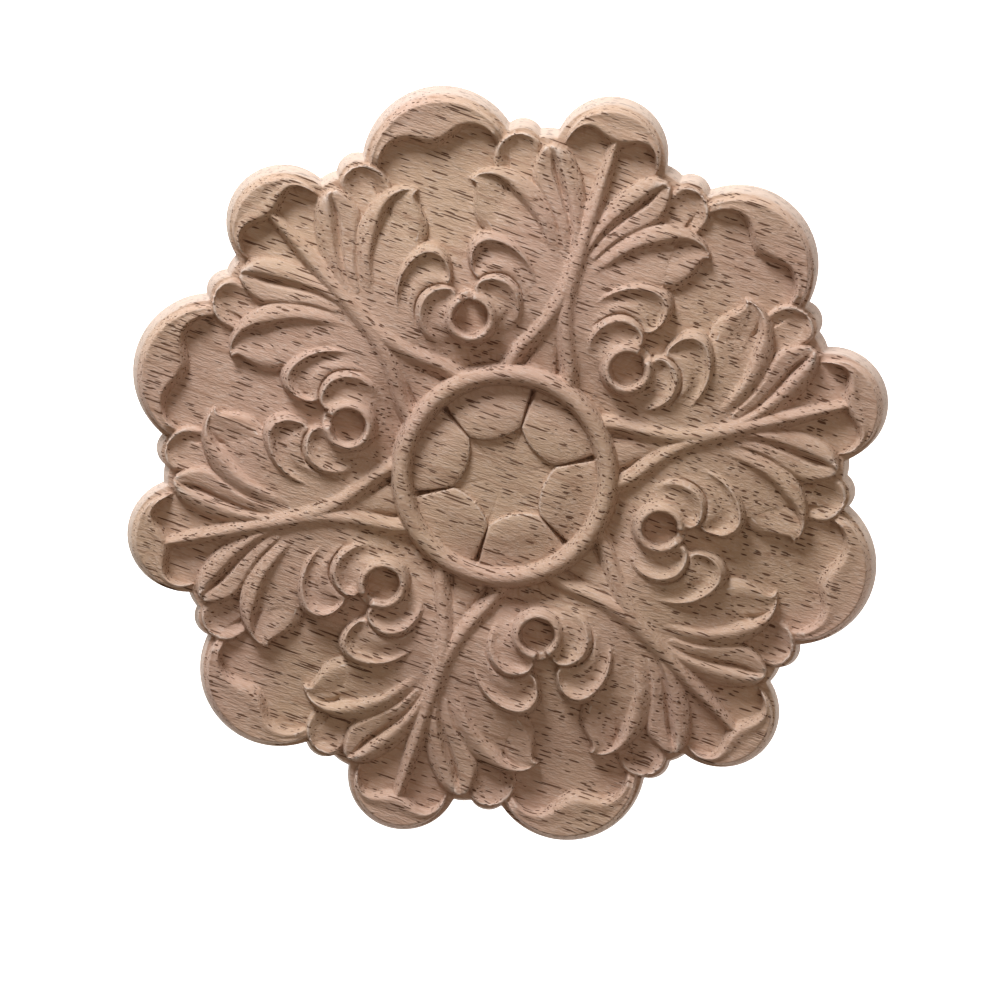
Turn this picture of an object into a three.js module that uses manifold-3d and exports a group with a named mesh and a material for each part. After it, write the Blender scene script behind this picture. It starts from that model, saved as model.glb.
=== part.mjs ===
// A round carved wooden rosette: six acanthus leaves round a ringed flower, with six big lobes
// between their tips. It is one piece of wood with a flat back, made to be glued to a flat face.
// Millimetres, +Z up. The back is the plane y = 0, the relief faces -Y, a big lobe points up.
import * as THREE from 'three';
import { SimplifyModifier } from 'three/addons/modifiers/SimplifyModifier.js';
import { mergeVertices } from 'three/addons/utils/BufferGeometryUtils.js';
import Module from 'manifold-3d';

const wasm = await Module();
wasm.setup();

// Driving sizes
const DIAMETER = 100;
const THICKNESS = 8.8;
const BACK_EDGE = 1;
const EDGE_DRAFT = 1.6;
const RING_RADIUS = 13.1;
const RING_WIDTH = 2.6;
const EYE_HOLE_RADIUS = 2.3;
const EYE_RIM_WIDTH = 1.05;
const EYE_GAP = 1.7;
const MIDRIB_WIDTH_AT_TIP = 1.5;
const MIDRIB_WIDTH_AT_MIDDLE = 2.4;
const MIDRIB_WIDTH_AT_FORK = 3;
const STEM_WIDTH = 2.5;
const PETAL_SLOT_AT_RING = 1.1;
const FACES = 9800;

// The carving is drawn on a rosette 100 across and 8.8 thick, and keeps its proportions
const FOLD = 6;
const SECTOR = 2 * Math.PI / FOLD;
const DRAWN_DIAMETER = 100;
const DRAWN_THICKNESS = 8.8;
const plan = DIAMETER / DRAWN_DIAMETER;
const rise = THICKNESS / DRAWN_THICKNESS;
const LEAF_AXIS = SECTOR / 2;

// A point out along the leaf's own axis and aside from it, towards the big lobe's axis
function byLeaf(out, aside = 0) {
  const x = Math.sin(LEAF_AXIS);
  const y = Math.cos(LEAF_AXIS);
  return [out * x - aside * y, out * y + aside * x];
}

const at = ([across, out]) => new THREE.Vector2(across * plan, out * plan);
const BURIED = 1.5 * rise;
const ABOVE = 1.3 * THICKNESS;
const SURFACE_STEPS = 72;
const DISC_STEPS = 54;
const PETAL_STEPS = 36;

// The value at share t along a smooth run through the given values
function along(values, t) {
  const run = values.map((value, index) => new THREE.Vector2(index, value));
  return new THREE.SplineCurve(run).getPoint(t).y;
}

// The value at x on the straight runs between [x, value] pairs
function between(pairs, x) {
  const next = pairs.findIndex(([place]) => place >= x);
  if (next < 1) return pairs[next === 0 ? 0 : pairs.length - 1][1];
  const [x0, y0] = pairs[next - 1];
  const [x1, y1] = pairs[next];
  return THREE.MathUtils.mapLinear(x, x0, x1, y0, y1);
}

// Turns a closed geometry into a solid, with its faces pointing out
function solid(geometry) {
  geometry.deleteAttribute('normal');
  geometry.deleteAttribute('uv');
  const merged = mergeVertices(geometry, 1e-4);
  const position = merged.attributes.position;
  const corners = Array.from(merged.index.array);
  const point = (index) => new THREE.Vector3().fromBufferAttribute(position, index);
  let volume = 0;
  const triangles = [];
  for (let i = 0; i < corners.length; i += 3) {
    const [a, b, c] = corners.slice(i, i + 3);
    if (a === b || b === c || c === a) continue;
    triangles.push([a, b, c]);
    volume += point(a).dot(point(b).cross(point(c)));
  }
  if (volume < 0) triangles.forEach((triangle) => triangle.reverse());
  const mesh = new wasm.Mesh({
    numProp: 3,
    vertProperties: new Float32Array(position.array),
    triVerts: new Uint32Array(triangles.flat()),
  });
  return new wasm.Manifold(mesh);
}

// A closed slab: place(s, t) gives the top point at shares s across and t along it, and its
// sides drop straight to the buried level
function slab(across, length, place, floor = BURIED) {
  const geometry = new THREE.BoxGeometry(1, 1, 1, across, length, 1);
  const position = geometry.attributes.position;
  for (let i = 0; i < position.count; i += 1) {
    const top = place(position.getX(i) + 0.5, position.getY(i) + 0.5);
    position.setXYZ(i, top.x, top.y, position.getZ(i) > 0 ? top.z : floor);
  }
  return solid(geometry);
}

// A carved form between two rails that run from its tip to its root. Its section is a list of
// [share across, lift over the level] pairs, and steps sets how many faces run along it.
function form({ first, second, level, section, steps, flip = 1 }) {
  const rails = [first, second].map((rail) => new THREE.SplineCurve(rail.map(at)));
  const count = section(0).length - 1;
  return slab(count, steps, (s, t) => {
    const [share, lift] = section(t)[Math.round(s * count)];
    const [start, end] = rails.map((rail) => rail.getPoint(t));
    const spot = start.lerp(end, share);
    return new THREE.Vector3(spot.x * flip, spot.y, (along(level, t) + lift) * rise);
  });
}

// The two mirrored copies of a form, either side of a big lobe's centre line
const pair = (shape) => [form(shape), form({ ...shape, flip: -1 })];

// A turned form from a profile of [radius, height] pairs that starts and ends on its axis
function turned(profile, segments, [across, out] = [0, 0]) {
  const points = profile.map(([radius, height]) => new THREE.Vector2(radius, height));
  const geometry = new THREE.LatheGeometry(points, segments);
  geometry.rotateX(Math.PI / 2);
  geometry.translate(across * plan, out * plan, 0);
  return solid(geometry);
}

const turn = (piece, angle) => piece.rotate([0, 0, THREE.MathUtils.radToDeg(angle)]);
const join = (pieces) => wasm.Manifold.union(pieces);
const around = (pieces) => Array.from({ length: FOLD }, (_, k) => k * SECTOR)
  .flatMap((angle) => pieces.map((piece) => turn(piece, angle)));

// The blank: leaf surface from the flower's hollow over the eyes and down to the rim
const LEAF_SURFACE = [
  [0, 6.7], [8, 6.3], [11.8, 5.7], [14.6, 5.7], [17.5, 6.6], [21, 7.3], [24, 7.3], [27, 7.1],
  [33, 6.3], [37, 5.4], [40, 4.8], [43.2, 4.4],
];

function blank() {
  const top = LEAF_SURFACE.map(([radius, height]) => [radius * plan, height * rise]);
  const edge = top.at(-1)[0];
  return turned([...top, [edge, BURIED], [0, BURIED]].reverse(), SURFACE_STEPS);
}

const BIG_LOBE = { centre: 39.75, radius: 10.25, crest: 5.9, reach: 80,
  halfWidth: 7.5, pocket: 4.3, pocketOut: 44.1, bump: 1.6, ends: 41 };
const TIP_LOBE = { centre: 42.7, radius: 7.3, crest: 6.1, reach: 88,
  halfWidth: 5.9, pocket: 3.8, pocketOut: 45.1, bump: 1.2, ends: 42 };
const LIP_EDGE = 5.85;
const LIP_FOOT = 4.5;
const HORN = 0.2;
const RIM_LEVEL = 4.2;

// The round lobes of half a sector: centre across and out, and radius, from a big lobe's axis
const RIM_ROUNDS = [
  [0, BIG_LOBE.centre, BIG_LOBE.radius],
  [10.8, 41.2, 2.6],
  [13.2, 37, 5],
  [...byLeaf(TIP_LOBE.centre), TIP_LOBE.radius],
];

// How far out the rim reaches at an angle from a big lobe's axis
function reach(angle) {
  const x = Math.sin(angle);
  const y = Math.cos(angle);
  const reaches = RIM_ROUNDS.map(([across, out, radius]) => {
    const along = across * x + out * y;
    const aside = across * y - out * x;
    return Math.abs(aside) > radius ? 0 : along + Math.sqrt(radius * radius - aside * aside);
  });
  return Math.max(...reaches);
}

// The angles in degrees from a big lobe's axis at which the rim has a corner
const RIM_ANGLES = [0, 2, 4, 6, 8, 10, 11.4, 12.4, 13.6, 15, 16.4, 17.5, 19, 20.6, 21.8, 23.2, 25, 27,
  28.5];

// The scalloped plate under the relief, with its rounded, drafted edge
function plate() {
  const angles = RIM_ANGLES.flatMap((angle) => (angle === 0 ? [0] : [angle, -angle]));
  const all = [...angles, 30].sort((a, b) => a - b).map((angle) => THREE.MathUtils.degToRad(angle));
  const count = all.length;
  const top = RIM_LEVEL * rise;
  const levels = [[-DIAMETER, 0], [0, 0], [0, BACK_EDGE], [-0.3 * EDGE_DRAFT, 0.65 * top],
    [-0.65 * EDGE_DRAFT, top], [-DIAMETER, top]];
  const profile = levels.map((level, row) => new THREE.Vector2(row, level[1]));
  const geometry = new THREE.LatheGeometry(profile, FOLD * count);
  const position = geometry.attributes.position;
  const rows = levels.length;
  for (let i = 0; i < position.count; i += 1) {
    const [inset, height] = levels[i % rows];
    const step = Math.floor(i / rows) % (FOLD * count);
    const turnTo = all[step % count] + Math.floor(step / count) * SECTOR;
    const radius = Math.max(0, reach(Math.abs(all[step % count])) * plan + inset);
    position.setXYZ(i, radius * Math.sin(turnTo), radius * Math.cos(turnTo), height);
  }
  return solid(geometry);
}

// The ground between two leaves, cut down below the leaf surface: its side from the eye to the
// rim, its floor by share along it, and how far the floor swells in the middle
const GROUND = {
  side: [[0.8, 22.6], [1.5, 24.6], [1.9, 26.6], [3.2, 29.5], [6, 32.5], [7.8, 36], [8.8, 39.5],
    [9.2, 46]],
  floor: [6.7, 6.4, 6.1, 5.6, 5.1, 4.7, 4.4, 4.2],
  swell: 0.35,
  columns: 4,
  steps: 10,
};

function groundCut() {
  const rail = new THREE.SplineCurve(GROUND.side.map(at));
  const geometry = new THREE.BoxGeometry(1, 1, 1, GROUND.columns, GROUND.steps, 1);
  const position = geometry.attributes.position;
  for (let i = 0; i < position.count; i += 1) {
    const t = position.getY(i) + 0.5;
    const spot = rail.getPoint(t);
    const aside = 2 * position.getX(i);
    const swell = GROUND.swell * Math.sin(Math.PI * t) * (1 - aside * aside);
    const height = position.getZ(i) > 0 ? ABOVE : (along(GROUND.floor, t) + swell) * rise;
    position.setXYZ(i, spot.x * aside, spot.y, height);
  }
  return solid(geometry);
}

// The lip's inner edge: a bump in the middle between two scooped pockets
function bracket(lobe, share) {
  const across = lobe.halfWidth * Math.sin(share * Math.PI / 2);
  const from = Math.abs(across);
  if (from < lobe.pocket) {
    const bump = lobe.bump * (1 + Math.cos(Math.PI * from / lobe.pocket)) / 2;
    return [across, lobe.pocketOut - bump];
  }
  const run = (from - lobe.pocket) / (lobe.halfWidth - lobe.pocket);
  const drop = (lobe.pocketOut - lobe.ends) * (1 - Math.sqrt(Math.max(0, 1 - run * run)));
  return [across, lobe.pocketOut - drop];
}

// A lobe's lip: a face between the rim's edge and the bracket, rolled over there into its
// pockets and fading at its horns
const LIP_STEPS = 22;
const LIP_ROLL = 0.4;

function lip(size) {
  const edge = size.radius * plan - 0.65 * EDGE_DRAFT;
  const { crest } = size;
  const heights = [RIM_LEVEL, LIP_EDGE, LIP_EDGE - 0.1, crest, crest - LIP_ROLL, LIP_FOOT];
  const count = heights.length - 1;
  return slab(count, LIP_STEPS, (s, t) => {
    const share = 2 * t - 1;
    const angle = THREE.MathUtils.degToRad(size.reach) * share;
    const inner = at(bracket(size, share));
    const outer = new THREE.Vector2(Math.sin(angle), Math.cos(angle)).multiplyScalar(edge);
    outer.y += size.centre * plan;
    const first = Math.min(0.5 * EDGE_DRAFT / inner.distanceTo(outer), 0.3);
    const column = Math.round(s * count);
    const spot = outer.lerp(inner, [0, first, 0.45, 0.78, 0.9, 1][column]);
    const fade = Math.sqrt(Math.min(1, (1 - Math.abs(share)) / HORN));
    const height = THREE.MathUtils.lerp(RIM_LEVEL, heights[column], fade);
    return new THREE.Vector3(spot.x, spot.y, height * rise);
  });
}

// The small lobe behind the fingers, beside each big lobe: a scoop between two thin edges
const SHOULDER = {
  first: [[9.8, 42.15], [8.3, 41.75], [7.3, 40.9], [6.8, 39.7], [6.6, 38]],
  second: [[10.6, 42.15], [12, 41.6], [12.8, 40.6], [12.7, 39.3], [11.8, 37]],
  level: [5.75, 5.6, 5.4, 5.15, 4.9],
  section: (t) => {
    const scoop = between([[0, 0.2], [0.15, 0.8], [1, 0.9]], t);
    return [[0, -0.3], [0.08, 0.15], [0.27, 0.1 - 0.6 * scoop], [0.5, 0.1 - scoop],
      [0.73, 0.1 - 0.6 * scoop], [0.92, 0.1], [1, -0.3]];
  },
  steps: 8,
};

// The finger next to the leaf's tip, creased down its middle
const TIP_FINGER = {
  first: [[13.3, 39.8], [12.5, 39.1], [11.7, 38], [11.2, 36.8], [11.2, 35.6], [11.9, 33.6],
    [12.8, 30.6], [13, 27]],
  second: [[14.6, 39.8], [15.7, 39.1], [16.5, 37.9], [16.9, 36.4], [17.2, 34.4], [17, 31.4],
    [16.2, 28.2], [14.8, 25.4]],
  level: [5.7, 5.75, 5.8, 5.85, 5.95, 6.15, 6.5, 6.6],
  section: (t) => {
    const crease = between([[0, 0], [0.15, 0.1], [0.36, 1.1], [0.75, 1.1], [1, 0]], t);
    return [[0, -0.35], [0.12, 0.28], [0.4, 0.15], [0.5, 0.1 - 0.9 * crease], [0.7, 0.5],
      [0.88, 0.3], [1, -0.35]];
  },
  steps: 14,
};

// The large pointed finger: a rolled rim outside its vein, a dished blade inside it
const BLADE = {
  first: [[3.5, 37.7], [3.9, 36.9], [3.5, 35.6], [3.1, 34], [3.1, 32.8], [3.7, 31.4], [5.6, 29.4],
    [8.6, 26.6], [10.3, 23.6]],
  second: [[3.8, 37.95], [5.4, 38.4], [7.4, 38.2], [9.2, 37.3], [10.9, 35.8], [12, 33.9],
    [12.7, 31.2], [12.9, 28], [12.5, 24.6]],
  level: [5.8, 5.85, 5.9, 6, 6.1, 6.2, 6.45, 6.7, 6.6],
  section: (t) => {
    const vein = between([[0, 0.75], [0.375, 0.7], [0.5, 0.62], [0.75, 0.64], [0.875, 0.52],
      [1, 0.45]], t);
    const deep = between([[0, 0], [0.22, 0], [0.42, 1], [0.8, 1], [1, 0]], t);
    const fade = between([[0, 1], [0.75, 1], [1, 0]], t);
    const dish = between([[0, 0.3], [0.45, 1], [1, 1]], t) * fade;
    return [[0, -0.35 * fade], [0.13, 0.3 * fade], [vein - 0.1, 0.25 * fade - 0.5 * dish],
      [vein, 0.1 * fade - 0.35 * dish - deep], [0.45 + 0.55 * vein, 0.75 * fade],
      [0.78 + 0.22 * vein, 0.45 * fade], [1, -0.1]];
  },
  steps: 18,
};

// The curled finger: a thin raised rim that closes round its tip, over a scoop and a low belly
const CURL = {
  first: [[1.8, 25.6], [1.35, 26.4], [1.2, 27.6], [1.4, 29.1], [2.3, 30.4], [3.8, 30.9],
    [5.6, 30.3], [7.3, 28.9], [8.5, 26.9], [9.1, 24.6], [9.2, 22.4]],
  second: [[2.2, 25.5], [2.6, 25.7], [3.2, 25.85], [4, 25.8], [4.9, 25.6], [5.7, 25.1], [6.4, 24.3],
    [6.9, 23.2], [7.1, 22.1], [7.2, 21], [7.1, 19.9]],
  level: [7.2, 7.4, 7.5, 7.5, 7.5, 7.45, 7.3, 6.7],
  section: (t) => {
    const scoop = between([[0, 0], [0.08, 0.05], [0.24, 1], [0.75, 0.9], [1, 0.1]], t);
    const fade = between([[0, 1], [0.7, 1], [1, 0]], t);
    return [[0, -0.35 * fade], [0.14, 0.55 * fade], [0.26, 0.55 * fade - 0.62 * scoop],
      [0.42, 0.55 * fade - scoop], [0.85, 0.45 * fade - 0.35 * scoop], [1, 0.1 * fade]];
  },
  steps: 20,
};

// The inner curl: a thin rim over a scoop that runs round the eye
const INNER_CURL = {
  first: [[1.3, 24.5], [1.8, 25.2], [2.7, 25.6], [4, 25.6], [5.3, 25.1], [6.3, 24], [6.8, 22.5],
    [6.7, 20.9], [6.1, 19.4], [5.1, 18.1]],
  second: [[1.3, 23.7], [1.8, 23.3], [2.4, 22.9], [2.9, 22.2], [3.1, 21.4], [3.2, 20.5], [3, 19.7],
    [2.6, 19], [2.1, 18.4], [1.4, 17.9]],
  level: [7.8, 7.9, 8, 8.05, 8, 7.85, 7.5, 6.7],
  section: (t) => {
    const scoop = between([[0, 0], [0.08, 0.2], [0.25, 1], [0.75, 0.8], [1, 0]], t);
    const fade = between([[0, 1], [0.65, 1], [1, 0]], t);
    return [[0, -0.3 * fade], [0.15, 0.45 * fade], [0.33, 0.45 * fade - 0.65 * scoop],
      [0.55, 0.45 * fade - scoop], [0.8, 0.4 * fade - 0.8 * scoop], [1, 0.3 * fade - 0.35 * scoop]];
  },
  steps: 18,
};

const EYE_CENTRE = [0, 20.8];
const EYE_FLOOR = 6.8;
const EYE_SADDLE = 7.4;
const EYE_RIM_SECTION = [[0, 7.9], [0.35, 8.55], [0.7, 8.8], [1, 8.65]];
const EYE_STEPS = 30;

// The low saddle that closes an eye's rim at its opening
function eyeSaddle() {
  const outer = (EYE_HOLE_RADIUS + EYE_RIM_WIDTH) * plan;
  const top = EYE_SADDLE * rise;
  return turned([[0, BURIED], [outer, BURIED], [outer, top], [0, top]], EYE_STEPS, EYE_CENTRE);
}

// The raised rim round an eye, open towards the rim of the rosette
function eyeRim() {
  const inner = EYE_HOLE_RADIUS * plan;
  const outer = (EYE_HOLE_RADIUS + EYE_RIM_WIDTH) * plan;
  const centre = at(EYE_CENTRE);
  const open = EYE_GAP * plan / outer;
  const count = EYE_RIM_SECTION.length - 1;
  return slab(count, EYE_STEPS, (s, t) => {
    const angle = Math.PI / 2 + open / 2 + t * (2 * Math.PI - open);
    const [share, height] = EYE_RIM_SECTION[Math.round(s * count)];
    const radius = THREE.MathUtils.lerp(outer, inner, share);
    const x = centre.x + radius * Math.cos(angle);
    return new THREE.Vector3(x, centre.y + radius * Math.sin(angle), height * rise);
  });
}

function eyeHole() {
  const radius = EYE_HOLE_RADIUS * plan;
  const profile = [[0, EYE_FLOOR * rise], [radius, EYE_FLOOR * rise], [radius, ABOVE], [0, ABOVE]];
  return turned(profile, EYE_STEPS, EYE_CENTRE);
}

// Half of the rounded rib: the midrib from the leaf's tip, then the stem into which it forks.
// The line goes out along the leaf's axis and aside from it, and the stem ends in the ring.
const RIB = {
  line: [[44.6, 0], [40, 0], [35.5, 0], [31, 0], [28, 0], [25.5, 0.1], [23.2, 0.5], [20.6, 1.3],
    [18.1, 2.35], [15.9, 3.4]],
  endAside: 4.15,
  widths: [MIDRIB_WIDTH_AT_TIP, MIDRIB_WIDTH_AT_MIDDLE, MIDRIB_WIDTH_AT_FORK, MIDRIB_WIDTH_AT_FORK,
    STEM_WIDTH, STEM_WIDTH],
  crests: [5.7, 6.3, 6.95, 7.5, 7.8, 8, 8, 7.9, 7.7, 7.4, 7.1],
  section: [[-0.5, -1.1], [-0.44, -0.6], [-0.25, -0.15], [0, 0], [0.25, -0.15], [0.44, -0.6],
    [0.5, -1.1]],
  steps: 26,
};

// The rib's half on one side of the leaf's axis, with side 1 or -1
function rib(side) {
  const end = Math.sqrt((RING_RADIUS + RING_WIDTH / 4) ** 2 - RIB.endAside ** 2);
  const line = [...RIB.line, [end, RIB.endAside]];
  const curve = new THREE.SplineCurve(line.map(([out, aside]) => at(byLeaf(out, side * aside))));
  const count = RIB.section.length - 1;
  return slab(count, RIB.steps, (s, t) => {
    const spot = curve.getPoint(t);
    const way = curve.getTangent(t);
    const [share, drop] = RIB.section[Math.round(s * count)];
    const offset = share * along(RIB.widths, t) * plan;
    const height = (along(RIB.crests, t) + drop) * rise;
    return new THREE.Vector3(spot.x - way.y * offset, spot.y + way.x * offset, height);
  });
}

// The low wedge left standing between the two stems: half width and height by distance out
const WEDGE = [[20.6, 0.3, 7], [17.5, 1.2, 6.8], [13.6, 2.2, 6.5]];
const WEDGE_BEVEL = 0.4;

function wedge() {
  const count = WEDGE.length - 1;
  return turn(slab(2, count, (s, t) => {
    const [out, wide, height] = WEDGE[Math.round(t * count)];
    const bevel = s === 0.5 ? 0 : WEDGE_BEVEL;
    return new THREE.Vector3((2 * s - 1) * wide * plan, out * plan, (height - bevel) * rise);
  }), -LEAF_AXIS);
}

// The rounded ring round the flower
const RING_FOOT = 6.6;
const RING_RISE = 1.7;
const RING_ROUNDS = 6;

function ring() {
  const half = RING_WIDTH / 2 * plan;
  const radius = RING_RADIUS * plan;
  const crown = Array.from({ length: RING_ROUNDS + 1 }, (_, i) => {
    const angle = Math.PI * i / RING_ROUNDS;
    const height = (RING_FOOT + RING_RISE * Math.sin(angle)) * rise;
    return new THREE.Vector2(radius + half * Math.cos(angle), height);
  });
  const foot = [-half, half].map((offset) => new THREE.Vector2(radius + offset, BURIED));
  const geometry = new THREE.LatheGeometry([...crown, ...foot, crown[0]], SURFACE_STEPS);
  geometry.rotateX(Math.PI / 2);
  return solid(geometry);
}

// A petal is a pillow of this outline, falling a little towards the ring
const PETAL = { centre: 9.6, halfWidth: 5.2, halfLength: 4.6, fall: 0.13, slotStart: 5 };
const PILLOW = [[0, 1.5], [1, 1.5], [1, 6.3], [0.92, 6.75], [0.65, 6.95], [0, 7.05]];

function petal() {
  const points = PILLOW.map(([share, height]) => new THREE.Vector2(share, height * rise));
  const geometry = new THREE.LatheGeometry(points, PETAL_STEPS);
  geometry.rotateX(Math.PI / 2);
  geometry.scale(PETAL.halfWidth * plan, PETAL.halfLength * plan, 1);
  geometry.applyMatrix4(new THREE.Matrix4().makeShear(0, 0, 0, -PETAL.fall * rise / plan, 0, 0));
  geometry.translate(0, PETAL.centre * plan, 0);
  return solid(geometry);
}

// A flat outline raised to a tall prism, to cut with or to keep within
function prism(outline) {
  const shape = new THREE.Shape(outline.map(at));
  return solid(new THREE.ExtrudeGeometry(shape, { depth: ABOVE, bevelEnabled: false }));
}

// Six pillowed petals inside the ring, parted by slots that widen towards it
function petals() {
  const far = RING_RADIUS - RING_WIDTH / 4;
  const past = 2 * far;
  const side = past * Math.tan(LEAF_AXIS);
  const half = PETAL_SLOT_AT_RING / 2;
  const slot = prism([[0, PETAL.slotStart], [half, RING_RADIUS], [-half, RING_RADIUS]]);
  const disc = turned([[0, 0], [far * plan, 0], [far * plan, ABOVE], [0, ABOVE]], DISC_STEPS);
  const sector = prism([[0, 0], [side, past], [-side, past]]);
  const slots = [turn(slot, LEAF_AXIS), turn(slot, -LEAF_AXIS)];
  const whole = petal().intersect(disc).intersect(sector);
  return around([slots.reduce((left, cutter) => left.subtract(cutter), whole)]);
}

function rosette() {
  const ground = around([groundCut()]).reduce((left, cut) => left.subtract(cut), blank());
  const fingers = [SHOULDER, TIP_FINGER, BLADE, CURL, INNER_CURL].flatMap(pair);
  const leaf = [
    lip(BIG_LOBE), turn(lip(TIP_LOBE), -LEAF_AXIS), ...fingers, eyeSaddle(), eyeRim(), rib(1),
    rib(-1), wedge(),
  ];
  const carved = join([plate(), ground, ...around(leaf), ring(), ...petals()]);
  const whole = around([eyeHole()]).reduce((left, hole) => left.subtract(hole), carved);
  const mesh = whole.getMesh();
  const geometry = new THREE.BufferGeometry();
  geometry.setAttribute('position', new THREE.BufferAttribute(mesh.vertProperties, 3));
  geometry.setIndex(new THREE.BufferAttribute(mesh.triVerts, 1));
  return mergeVertices(geometry, 1e-5);
}

// The same surface with fewer, larger faces where it is flat
async function lighter(geometry, triangles) {
  const spare = 1 - 3 * triangles / geometry.index.count;
  const light = await new SimplifyModifier().modify(geometry, spare * geometry.attributes.position.count);
  light.computeVertexNormals();
  return light;
}

const wood = new THREE.MeshStandardMaterial({ color: '#b89680', roughness: 0.8, metalness: 0 });
const piece = new THREE.Mesh(await lighter(rosette(), FACES), wood);
piece.name = 'rosette';
piece.rotation.x = Math.PI / 2;

const group = new THREE.Group();
group.add(piece);
export default group;
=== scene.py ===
"""Dresses the carved rosette: one piece of raw rubberwood with its relief cut finely.

The carving is drawn in a flat plan of millimetres on a rosette 100 mm across: u to the right and
v up along a big lobe's axis, with heights off the back. Half a sector is carved, mirrored and
turned six times, and the finished sheet stands upright on the frame's own box.
"""

import logging
import math
from dataclasses import dataclass, field
from enum import Enum
from typing import Callable, Sequence, TypeVar

import bmesh
import bpy
from bmesh.types import BMesh
from mathutils import Matrix, Vector
from mathutils.bvhtree import BVHTree


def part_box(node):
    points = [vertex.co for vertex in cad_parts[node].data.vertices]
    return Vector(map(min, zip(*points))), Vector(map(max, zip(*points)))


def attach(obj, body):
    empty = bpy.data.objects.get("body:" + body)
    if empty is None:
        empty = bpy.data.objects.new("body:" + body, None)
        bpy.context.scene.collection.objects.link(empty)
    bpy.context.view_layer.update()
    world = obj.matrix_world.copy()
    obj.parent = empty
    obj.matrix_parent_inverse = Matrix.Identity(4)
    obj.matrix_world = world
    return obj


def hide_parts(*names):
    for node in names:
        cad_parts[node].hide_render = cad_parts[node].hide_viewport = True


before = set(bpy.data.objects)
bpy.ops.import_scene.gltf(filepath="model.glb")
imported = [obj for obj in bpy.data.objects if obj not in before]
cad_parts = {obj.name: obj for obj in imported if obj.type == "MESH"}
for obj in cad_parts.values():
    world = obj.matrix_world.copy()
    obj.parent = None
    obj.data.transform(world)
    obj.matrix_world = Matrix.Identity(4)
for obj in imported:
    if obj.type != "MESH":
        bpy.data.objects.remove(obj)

log = logging.getLogger("rosette")

DRAWN_DIAMETER = 100.0
DRAWN_THICKNESS = 8.8
FOLD = 6
HALF_SECTOR = math.pi / FOLD


class Corner(Enum):
    """How a cross-section passes through one of its points."""

    SHARP = "an edge, or the bottom of a groove"
    ROUND = "the top of a swell, or the bottom of a scoop"


SHARP, ROUND = Corner.SHARP, Corner.ROUND

Point = tuple[float, float]
SectionPoint = tuple[float, float, Corner]
Section = Callable[[float], Sequence[SectionPoint]]
Height = Callable[[float, float], float]
Amount = TypeVar("Amount", float, Vector)
Colour = tuple[float, float, float, float]
Socket = bpy.types.NodeSocket

EASES: dict[tuple[Corner, Corner], Callable[[float], float]] = {
    (SHARP, SHARP): lambda x: x,
    (SHARP, ROUND): lambda x: math.sin(x * math.pi / 2),
    (ROUND, SHARP): lambda x: 1 - math.cos(x * math.pi / 2),
    (ROUND, ROUND): lambda x: (1 - math.cos(x * math.pi)) / 2,
}


def run_through(values: Sequence[Amount], t: float) -> Amount:
    """The value at share t of a smooth run through the given values.

    Args:
        values: Numbers or vectors, evenly spaced along the run.
        t: Share along the run, 0 to 1.

    Returns:
        A number or a vector, as the values are.
    """
    last = len(values) - 1
    place = t * last
    index = min(int(place), last)
    x = place - index
    before = values[max(index - 1, 0)]
    start = values[index]
    end = values[min(index + 1, last)]
    after = values[min(index + 2, last)]
    v0 = (end - before) * 0.5
    v1 = (after - start) * 0.5
    cubic = (start - end) * 2 + v0 + v1
    square = (end - start) * 3 - v0 * 2 - v1
    return cubic * x**3 + square * x**2 + v0 * x + start


def between(pairs: Sequence[Point], x: float) -> float:
    """The value at x on straight runs between points.

    Args:
        pairs: (place, value) points in order. The end values hold beyond them.
        x: The place.

    Returns:
        The value there.
    """
    if x <= pairs[0][0]:
        return pairs[0][1]
    for (x0, y0), (x1, y1) in zip(pairs, pairs[1:]):
        if x <= x1:
            return y0 + (y1 - y0) * (x - x0) / (x1 - x0)
    return pairs[-1][1]


def across(section: Sequence[SectionPoint], s: float) -> float:
    """The lift at share s of a cross-section.

    Args:
        section: (share, lift, corner) points in order.
        s: Share across, 0 to 1.

    Returns:
        The lift over the form's level.
    """
    for (s0, z0, corner0), (s1, z1, corner1) in zip(section, section[1:]):
        if s <= s1:
            share = EASES[corner0, corner1]((s - s0) / (s1 - s0))
            return z0 + (z1 - z0) * share
    return section[-1][1]


def by_leaf(out: float, aside: float = 0.0) -> Point:
    """A plan point measured along the leaf's own axis.

    Args:
        out: Distance out from the middle.
        aside: Distance from the leaf's axis, towards the big lobe's axis.

    Returns:
        The plan point.
    """
    x, y = math.sin(HALF_SECTOR), math.cos(HALF_SECTOR)
    return out * x - aside * y, out * y + aside * x


def turned(point: Vector, angle: float) -> Vector:
    """A plan point turned clockwise about the middle by an angle in radians."""
    return Matrix.Rotation(-angle, 3, "Z") @ point


class Sheet:
    """A bmesh of open height sheets, onto which the rosette's surface is draped."""

    def __init__(self) -> None:
        """Starts an empty set of sheets."""
        self.bm = bmesh.new()

    def add(self, columns: int, rows: int, place: Callable[[float, float], Vector]) -> None:
        """Adds one sheet.

        Args:
            columns: Faces across.
            rows: Faces along.
            place: Gives the point at shares s across and t along, with its height as z.
        """
        grid = bmesh.ops.create_grid(self.bm, x_segments=columns, y_segments=rows, size=0.5)
        for vert in grid["verts"]:
            vert.co = place(vert.co.x + 0.5, vert.co.y + 0.5)

    def tree(self) -> BVHTree:
        """The sheets as a search tree, after which they are freed."""
        tree = BVHTree.FromBMesh(self.bm)
        self.bm.free()
        return tree


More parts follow.
